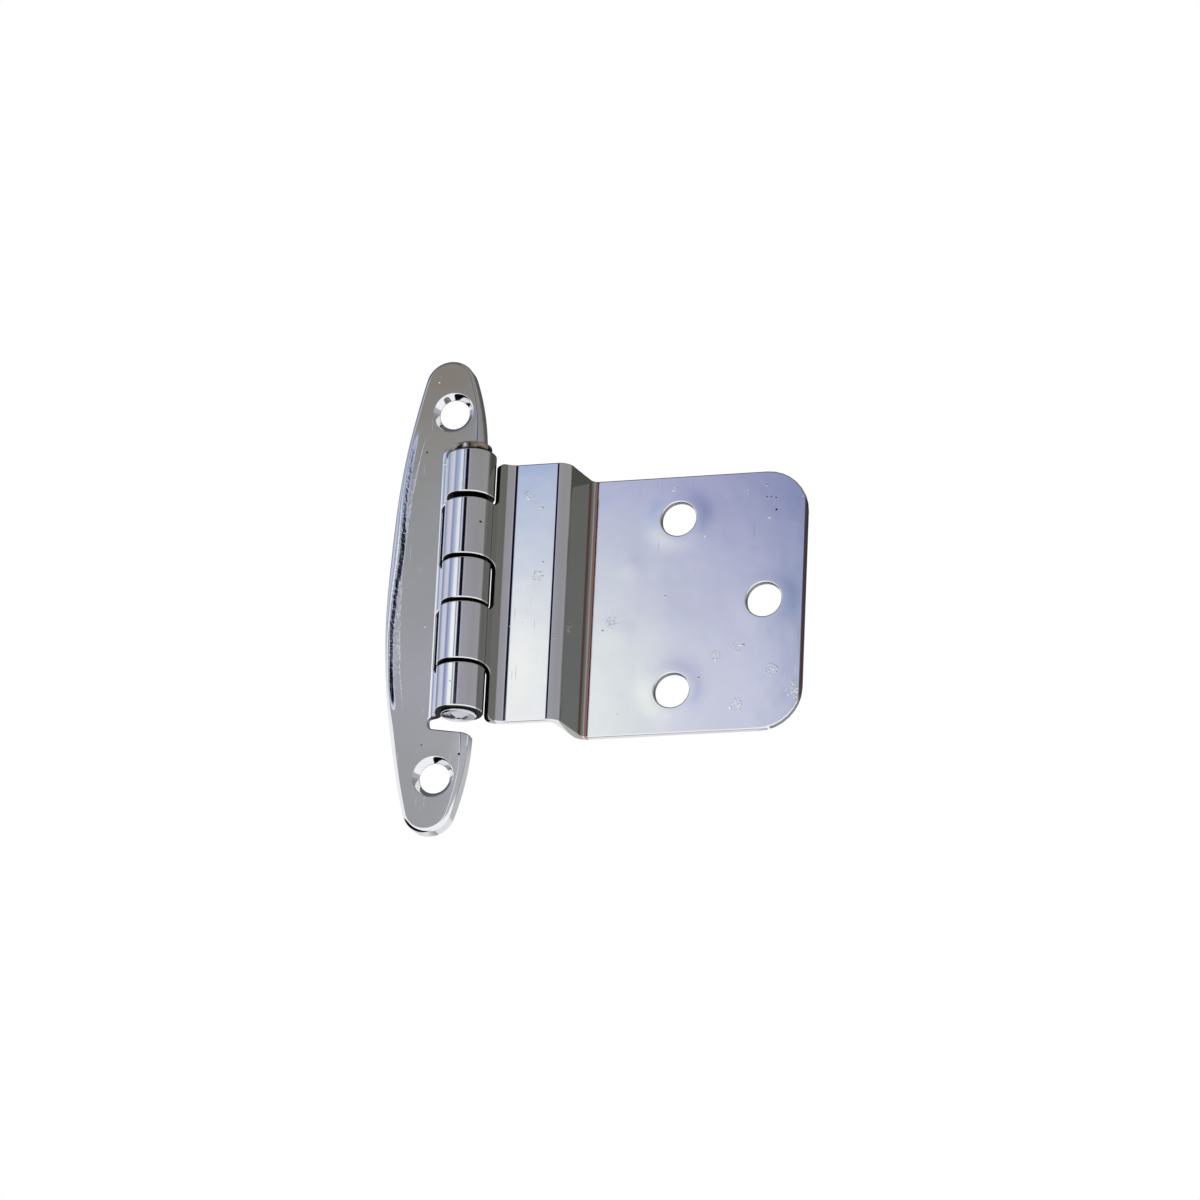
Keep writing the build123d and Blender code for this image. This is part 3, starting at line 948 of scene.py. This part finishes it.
@dataclass
class DoorLeaf:
    """The leaf behind the door: two knuckles, the strip, the step back and the plate with three holes."""

    height: float = 38.1
    barrel_radius: float = 3.44725
    strip_y: float = 0.418
    bend: float = 2.7
    strip_end: float = 15.2
    step_depth: float = 7.9375
    step_angle: float = 80.0
    outer_bend: float = 2.0
    inner_bend: float = 0.9
    plate_width: float = 30.3
    plate_corner: float = 6.0
    notch_turn: float = 1.0
    seam_angle: float = 37.0
    knuckles: tuple = ((4.05, 12.5), (-11.4, -2.95))
    root: float = 1.0
    edge: float = 0.2
    hole: float = 2.5
    hole_line: float = 11.8
    hole_pitch: float = 12.7
    dimple: float = 0.03
    dimple_width: float = 1.8
    dents: tuple = ((24.3, 6.2, 1.6, 0.008), (22.9, -4.0, 2.4, 0.012), (29.5, -3.0, 3.5, 0.01))

    def __post_init__(self) -> None:
        """Works out where each bend starts and ends along the blank."""
        lift = self.strip_y - PIN_Y - self.bend
        reach = math.sqrt((self.barrel_radius + self.bend) ** 2 - lift**2)
        self.start_x = PIN_X + reach
        self.wrap_angle = math.atan2(lift, reach)
        self.bend_turn = math.atan2(reach, -lift) if lift < 0 else math.pi / 2 - self.wrap_angle
        self.bend_run = self.bend * self.bend_turn
        wrap = 2 * math.pi - math.radians(self.seam_angle) + self.wrap_angle
        self.wrap_end = self.start_x - self.bend_run - self.barrel_radius * wrap
        self.turn = math.radians(self.step_angle)
        bends = self.outer_bend + self.inner_bend
        self.wall = (self.step_depth - bends * (1 - math.cos(self.turn))) / math.sin(self.turn)
        self.plate_y = self.strip_y + self.step_depth
        self.plate_x = self.strip_end + bends * math.sin(self.turn) + self.wall * math.cos(self.turn)
        self.first_end = self.strip_end + self.outer_bend * self.turn
        self.wall_end = self.first_end + self.wall
        self.second_end = self.wall_end + self.inner_bend * self.turn
        self.notch = self.start_x - self.bend * self.notch_turn

    def dimples(self, x: np.ndarray, z: np.ndarray) -> tuple[np.ndarray, np.ndarray, np.ndarray]:
        """Gives the plate's faint unevenness: a raised lip round each punched hole and a few shallow dents.

        Each is a bell curve of the distance from a circle, whose radius is the hole's or, for a dent, zero.

        Args:
            x: Places across the plate.
            z: Places along the pin.

        Returns:
            The height towards the room and its slopes along x and z.
        """
        line = self.plate_x + self.hole_line
        rings = [(line, side * self.hole_pitch, self.hole, self.dimple_width, self.dimple) for side in (1, -1)]
        rings.append((line + self.hole_pitch, 0.0, self.hole, self.dimple_width, self.dimple / 3))
        rings += [(place, level, 0.0, width, depth) for place, level, width, depth in self.dents]
        centre_x, centre_z, radius, width, depth = (np.array(column)[:, None] for column in zip(*rings))
        away_x, away_z = x[None] - centre_x, z[None] - centre_z
        away = np.maximum(np.hypot(away_x, away_z), 1e-6)
        height = depth * np.exp(-(((away - radius) / width) ** 2))
        fall = -2 * (away - radius) / width**2 * height
        return height.sum(axis=0), (fall * away_x / away).sum(axis=0), (fall * away_z / away).sum(axis=0)

    def fold(self, flat: np.ndarray) -> tuple[np.ndarray, np.ndarray]:
        """Folds the blank: wrap, bend, strip, outer bend, wall, inner bend, plate, each by its own formula.

        Args:
            flat: Points of the blank in run and z.

        Returns:
            Points and normals in space.
        """
        run = flat[:, 0]
        wrap = self.wrap_angle - (self.start_x - self.bend_run - run) / self.barrel_radius
        bend = (self.start_x - run) / self.bend
        first = (run - self.strip_end) / self.outer_bend
        wall = run - self.first_end
        second = self.turn - (run - self.wall_end) / self.inner_bend
        wall_x = self.strip_end + self.outer_bend * math.sin(self.turn)
        wall_y = self.strip_y + self.outer_bend * (1 - math.cos(self.turn))
        sections = [run < self.start_x - self.bend_run, run < self.start_x, run < self.strip_end]
        sections += [run < self.first_end, run < self.wall_end, run < self.second_end]
        x = np.select(
            sections,
            [
                PIN_X + self.barrel_radius * np.cos(wrap),
                self.start_x - self.bend * np.sin(bend),
                run,
                self.strip_end + self.outer_bend * np.sin(first),
                wall_x + wall * math.cos(self.turn),
                self.plate_x - self.inner_bend * np.sin(second),
            ],
            self.plate_x + run - self.second_end,
        )
        y = np.select(
            sections,
            [
                PIN_Y + self.barrel_radius * np.sin(wrap),
                self.strip_y - self.bend + self.bend * np.cos(bend),
                np.full(len(run), self.strip_y),
                self.strip_y + self.outer_bend - self.outer_bend * np.cos(first),
                wall_y + wall * math.sin(self.turn),
                self.plate_y - self.inner_bend + self.inner_bend * np.cos(second),
            ],
            self.plate_y,
        )
        flat_part = np.zeros(len(run))
        height, slope_x, slope_z = self.dimples(x, flat[:, 1])
        plain = run > self.second_end
        leans = [wrap + np.pi / 2, bend, flat_part, first, flat_part + self.turn, second]
        lean = np.select(sections, leans, 0.0)
        normals = np.stack([np.sin(lean) - slope_x * plain, -np.cos(lean), -slope_z * plain], axis=1)
        return np.stack([x, y - height * plain, flat[:, 1]], axis=1), unit(normals)

    def surface(self) -> Surface:
        """Builds the leaf: the blank with its holes is filled and folded, and the shell is closed."""
        half = self.height / 2
        end = self.second_end + self.plate_width
        corners = [(self.notch, -half), (end, -half), (end, half), (self.notch, half)]
        radii = [0.8, self.plate_corner, self.plate_corner, 0.8]
        for low, high in self.knuckles:
            corners += [(self.notch, high), (self.wrap_end, high), (self.wrap_end, low), (self.notch, low)]
            radii += [self.root, 0.35, 0.35, self.root]
        loop = rounded_path(corners, radii, self.edge, True)
        line = self.second_end + self.hole_line
        places = [(line, self.hole_pitch), (line, -self.hole_pitch), (line + self.hole_pitch, 0.0)]
        holes = [circle(place, self.hole + self.edge, HOLE_POINTS) for place in places]
        sections = [(self.wrap_end, 1.0), (self.start_x - self.bend_run, 0.2), (self.start_x, 0.1)]
        sections += [(self.strip_end, 0.7), (self.first_end, 0.1), (self.wall_end, 0.7)]
        sections += [(self.second_end, 0.1), (end, 0.55)]
        flat, faces = fill([loop, *holes], lattice(sections, (-half, half, 0.5)))
        points, normals = self.fold(flat)
        return close_shell(Surface(points, normals, faces), self.edge, [])


@dataclass
class HingePin:
    """The headed pin: a flat head above the barrel and a peened end below it."""

    radius: float = 2.38125
    head_radius: float = 2.7
    head_top: float = 21.15
    head_round: float = 0.4
    seat_round: float = 0.1
    barrel_top: float = 19.75
    barrel_low: float = -18.35
    peened_radius: float = 2.485
    peened_low: float = -19.25
    blows: int = 5
    blow_tilt: float = 14.0
    segments: int = 96

    def surface(self) -> Surface:
        """Builds the pin: a profile of radius and z, turned about the pin's line, with one point at each pole.

        On the peened end the normals are those of a few hammer blows, each one direction over its sector.
        """
        arc = np.radians(np.linspace(0, 90, 7))
        head, top, seat = self.head_radius, self.head_top, self.barrel_top
        low, wide = self.barrel_low, self.peened_radius
        upper, under = self.head_round, self.seat_round
        profile = np.vstack(
            [
                [(0.9, top), (1.8, top)],
                np.stack([head - upper + upper * np.sin(arc), top - upper + upper * np.cos(arc)], axis=1),
                np.stack([head - under + under * np.cos(arc), seat + under - under * np.sin(arc)], axis=1),
                [(self.radius, seat), (self.radius, seat - 0.05), (self.radius, low + 0.05)],
                [(wide - 0.03, low - 0.02), (wide, low - 0.08), (wide, low - 0.3), (wide - 0.1, low - 0.42)],
                [(wide - 0.3, low - 0.5), (1.5, self.peened_low + 0.2), (0.75, self.peened_low + 0.06)],
            ]
        )
        angle = np.linspace(0, 2 * np.pi, self.segments, endpoint=False)
        spoke = np.stack([np.cos(angle), np.sin(angle)], axis=1)
        slope = unit(np.gradient(profile, axis=0))
        ring = profile[:, 0][:, None, None] * spoke[None] + (PIN_X, PIN_Y)
        height = np.broadcast_to(profile[:, 1][:, None, None], (len(profile), self.segments, 1))
        sideways = -slope[:, 1][:, None, None] * spoke[None]
        upward = np.broadcast_to(slope[:, 0][:, None, None], height.shape)
        points = np.concatenate([ring, height], axis=2).reshape(-1, 3)
        normals = np.concatenate([sideways, upward], axis=2)
        sector = np.floor((angle + 0.5) / (2 * np.pi) * self.blows) * 2 * np.pi / self.blows
        tilt = math.radians(self.blow_tilt)
        blow = np.stack([np.cos(sector) * math.sin(tilt), np.sin(sector) * math.sin(tilt)], axis=1)
        normals[-3:] = np.insert(blow, 2, -math.cos(tilt), axis=1)
        normals = normals.reshape(-1, 3)
        number = np.arange(len(points)).reshape(len(profile), self.segments)
        paired = [np.stack([row, np.roll(row, -1)], axis=1) for row in number]
        faces = [band_faces(a, b) for a, b in zip(paired[:-1], paired[1:])]
        faces.append(np.insert(paired[0], 2, len(points), axis=1))
        faces.append(np.insert(paired[-1][:, ::-1], 2, len(points) + 1, axis=1))
        poles = [(PIN_X, PIN_Y, self.head_top), (PIN_X, PIN_Y, self.peened_low)]
        return Surface(
            np.vstack([points, poles]), np.vstack([normals, [(0, 0, 1), (0, 0, -1)]]), np.vstack(faces)
        )


@dataclass
class Studio:
    """A pale floor, soft light, the panels that the chrome mirrors, and the camera."""

    floor_z: float = -450.0
    dome_radius: float = 1000.0
    azimuth: float = 16.75
    elevation: float = -20.46
    roll: float = -2.72
    distance: float = 900.0
    lens: float = 195.26
    aim: tuple = (19.0, 1.0, 0.0)
    aim_shift: tuple = (2.97, -1.36)
    card: tuple = (-84.0, -59.5, -200.0, 22.0, 132.0)
    greys: tuple = (
        (0.0, "#a4a3a5"), (0.25, "#a4a4a6"), (0.36, "#aaaab1"), (0.5, "#a1a1a4"), (0.64, "#9a9b9c"),
        (0.75, "#95948f"), (0.86, "#8b857c"),
    )
    levels: tuple = (
        (
            (0, 0),
            (
                (-180, "#9a9ca0"), (-172, "#c8cacc"), (-160, "#ffffff"), (-150, "#d8d9dc"),
                (-143, "#3a3b3d"), (-134, "#0b0c0d"), (-48, "#0b0c0d"), (-42, "#ffffff"), (180, "#ffffff"),
            ),
        ),
        (
            (-100, -20),
            (
                (-180, "#f4f4f4"), (-8, "#ffffff"), (4, "#b4b3ba"), (110, "#b4b3ba"), (120, "#8a8c90"),
                (180, "#f4f4f4"),
            ),
        ),
        (
            (245, 318),
            (
                (-180, "#9a9da2"), (-160, "#c6cff0"), (-140, "#aab6da"), (-122, "#8d95a8"),
                (-110, "#98a0ae"), (-100, "#c4c9d4"), (-92, "#d2d5df"), (-76, "#d8d5e6"), (-70, "#b4b4cc"),
                (-64, "#7a80a8"), (-60, "#98a4c6"), (-50, "#b4c0da"), (-43, "#e8edf6"), (-38, "#ffffff"),
                (-16.3, "#fffffb"), (-15.4, "#ebf1ee"), (-13.5, "#cecfe6"), (-12.2, "#d6d8ea"),
                (-11.5, "#8096be"), (-10.4, "#566a92"), (-9.8, "#07080a"), (3, "#07080a"), (4.5, "#b8b4c2"),
                (12, "#a3a1aa"), (60, "#9b9a9c"), (112, "#9f9fa2"), (116, "#6e7278"), (150, "#6e7278"),
                (178, "#8d9096"),
            ),
        ),
        (
            (335, 390),
            (
                (-180, "#54565c"), (-160, "#4a4f5c"), (-138, "#4b5162"), (-124, "#8a90a0"),
                (-110, "#b7bdcb"), (-92, "#cbc9d1"), (-76, "#dcdae6"), (-69, "#b4bacc"), (-63, "#8f9ab4"),
                (-58, "#9eaece"), (-48, "#a6b3d2"), (-41, "#aebad6"), (-35, "#d6dff0"), (-29, "#dce6f4"),
                (-22, "#b6c9e0"), (-17.1, "#a2b6da"), (-16.4, "#a2b6da"), (-15.4, "#bcbbd8"),
                (-13.6, "#a9acce"), (-12.2, "#8b8fb9"), (-11.2, "#7a8cb2"), (-10.2, "#0c0d0f"),
                (1.5, "#0c0d0f"), (4, "#a8a5ae"), (12, "#97959a"), (60, "#959390"), (112, "#9a9996"),
                (116, "#6a6e68"), (150, "#6a6d66"), (178, "#54565a"),
            ),
        ),
        (
            (430, 560),
            (
                (-180, "#5c5e62"), (-130, "#5c6068"), (-60, "#5e667a"), (-40, "#6c6e74"), (-28, "#6e6860"),
                (-4, "#6e6860"), (4, "#8e8a82"), (110, "#918c84"), (118, "#62645e"), (178, "#5c5e60"),
            ),
        ),
    )

    def add_world(self) -> None:
        """Makes a white world for what the camera and the mirrors see, a little lower for all else."""
        world = bpy.data.worlds.new("soft_white_studio")
        bpy.context.scene.world = world
        world.use_nodes = True
        tree = world.node_tree
        tree.nodes.clear()
        path = add_node(tree, "LightPath")
        seen = add_node(
            tree, "Math", (path.outputs["Is Camera Ray"], path.outputs["Is Glossy Ray"]), operation="ADD"
        )
        seen = add_node(
            tree, "Math", (seen, path.outputs["Is Transmission Ray"]), operation="ADD", use_clamp=True
        )
        level = add_node(tree, "MapRange", {"Value": seen, "To Min": 0.8, "To Max": 1.0})
        sky = add_node(tree, "Background", {"Color": linear("#ffffff"), "Strength": level})
        add_node(tree, "OutputWorld", {"Surface": sky})

    def only_mirrored(self, panel: bpy.types.Object, material: bpy.types.Material, tone: Link) -> None:
        """Gives a panel its light and leaves it visible to glossy rays alone, as a card outside the picture.

        Args:
            panel: The panel.
            material: Its material.
            tone: The node that gives its colour.
        """
        glow = add_node(material.node_tree, "Emission", {"Color": tone, "Strength": 1.0})
        add_node(material.node_tree, "OutputMaterial", {"Surface": glow})
        panel.data.materials.append(material)
        for ray in ("camera", "diffuse", "shadow", "transmission", "volume_scatter"):
            setattr(panel, f"visible_{ray}", False)

    def add_dome(self) -> None:
        """Makes the ring of panels: tone by azimuth, and in the bright window also by height."""
        bpy.ops.mesh.primitive_uv_sphere_add(segments=64, ring_count=32, radius=self.dome_radius * MM)
        dome = bpy.context.object
        dome.name = "mirror_panels"
        material, tree = start_material("panel_light")
        axes = add_node(tree, "SeparateXYZ", {"Vector": add_node(tree, "TexCoord").outputs["Object"]})
        front = add_node(tree, "Math", (axes.outputs["Y"], -1.0), operation="MULTIPLY")
        angle = add_node(tree, "Math", (axes.outputs["X"], front), operation="ARCTAN2")
        share = add_node(tree, "MapRange", (angle, -math.pi, math.pi))
        tone = None
        for (start, end), stops in self.levels:
            ring = set_ramp(
                add_node(tree, "ValToRGB", {"Fac": share}),
                [(self.turn(azimuth), code) for azimuth, code in stops],
            )
            if tone is None:
                tone = ring
                continue
            climb = add_node(tree, "MapRange", (axes.outputs["Z"], start * MM, end * MM))
            tone = add_node(tree, "Mix", {"Factor": climb, "A": tone, "B": ring}, data_type="RGBA")
        self.only_mirrored(dome, material, tone)

    @staticmethod
    def turn(azimuth: float) -> float:
        """Returns the ramp position of an azimuth in degrees, 0 towards the room and positive to the right."""
        return (azimuth + 180) / 360

    def add_card(self) -> None:
        """Makes the upright grey card that the frame leaf's face mirrors, with tones along its height."""
        left, right, y, low, high = self.card
        bpy.ops.mesh.primitive_plane_add(size=1.0)
        card = bpy.context.object
        card.name = "grey_card"
        corners = np.array([(left, low), (right, low), (left, high), (right, high)], float)
        place = np.insert(corners, 1, y, axis=1) * MM
        card.data.vertices.foreach_set("co", place.ravel())
        card.data.update()
        material, tree = start_material("grey_card_light")
        axes = add_node(tree, "SeparateXYZ", {"Vector": add_node(tree, "TexCoord").outputs["Object"]})
        climb = add_node(tree, "MapRange", (axes.outputs["Z"], low * MM, high * MM))
        self.only_mirrored(card, material, set_ramp(add_node(tree, "ValToRGB", {"Fac": climb}), self.greys))

    def add_floor(self) -> None:
        """Makes the pale floor, far enough below for a camera that looks up."""
        bpy.ops.mesh.primitive_plane_add(size=6.0, location=(0, 0, self.floor_z * MM))
        floor = bpy.context.object
        floor.name = "floor"
        material = bpy.data.materials.new("pale_matt_floor")
        material.use_nodes = True
        shader = material.node_tree.nodes["Principled BSDF"]
        shader.inputs["Base Color"].default_value = linear("#f4f4f4")
        shader.inputs["Roughness"].default_value = 0.9
        floor.data.materials.append(material)
        floor.visible_glossy = False

    def add_lamp(self) -> None:
        """Hangs one large soft lamp, as bright as a white card, above and to the left of the front."""
        lamp = bpy.data.lights.new("soft_lamp", "AREA")
        lamp.shape = "SQUARE"
        lamp.size = 0.8
        lamp.energy = 1.9
        item = place_object("soft_lamp", lamp)
        place = Vector((-0.35, -0.45, 0.75))
        item.location = place
        item.rotation_mode = "QUATERNION"
        item.rotation_quaternion = place.to_track_quat("Z", "Y")
        item.visible_glossy = False

    def add_camera(self) -> None:
        """Places the camera at the photograph's angle, with its small roll."""
        turn, lift, roll = (math.radians(v) for v in (self.azimuth, self.elevation, self.roll))
        right = Vector((math.cos(turn), math.sin(turn), 0))
        back = Vector((math.sin(turn) * math.cos(lift), -math.cos(turn) * math.cos(lift), math.sin(lift)))
        up = back.cross(right)
        across = right * math.cos(roll) - up * math.sin(roll)
        upward = right * math.sin(roll) + up * math.cos(roll)
        target = Vector(self.aim) + across * self.aim_shift[0] + upward * self.aim_shift[1]
        data = bpy.data.cameras.new("camera")
        data.lens = self.lens
        data.sensor_width = 36.0
        data.clip_start, data.clip_end = 0.05, 20.0
        camera = place_object("camera", data)
        axes = Matrix((across, upward, back)).transposed().to_4x4()
        camera.matrix_world = Matrix.Translation((target + back * self.distance) * MM) @ axes
        bpy.context.scene.camera = camera

    def build(self) -> None:
        """Builds the whole stage."""
        self.add_world()
        self.add_dome()
        self.add_card()
        self.add_floor()
        self.add_lamp()
        self.add_camera()
        bpy.context.scene.view_settings.view_transform = "Standard"


def main() -> None:
    """Builds the pieces and the stage."""
    logging.basicConfig(level=logging.INFO, format="%(name)s %(message)s")
    frame_leaf = FrameLeaf()
    frame_finish = Chrome(
        "bright_chrome_frame_leaf",
        pits=(Mark(-3.5, 21.2, 0.2), Mark(3.6, -23.9, 0.24), Mark(-1.9, -22.3, 0.16)),
        # A band of painted shade on the barrel's right flank, where it turns away from the light.
        stain_and_painted_light=((6.45, 7.3, 0.12, "#a9aba3"),),
        rough_band=(frame_leaf.bulge_radius - frame_leaf.bulge, frame_leaf.bulge_radius, 0.4, 2.3, -17.0, 24.0),
    )
    frame_leaf.surface().to_object(
        "frame_leaf_plated", frame_finish.build(), Body.FRAME, Slot.FRAME, "frame_leaf"
    )
    # The door leaf's fold bands are painted shade and painted reflection.
    door_finish = Chrome("bright_chrome_door_leaf", pits=PLATE_PITS, scuffs=PLATE_SCUFFS, stain_and_painted_light=FOLD_PAINTED_LIGHT)
    DoorLeaf().surface().to_object("door_leaf_plated", door_finish.build(), Body.DOOR, Slot.DOOR, "door_leaf")
    HingePin().surface().to_object(
        "hinge_pin_turned", PinSteel("turned_steel_pin").build(), Body.FRAME, Slot.PIN, "hinge_pin"
    )
    Studio().build()


if __name__ == "__main__":
    main()
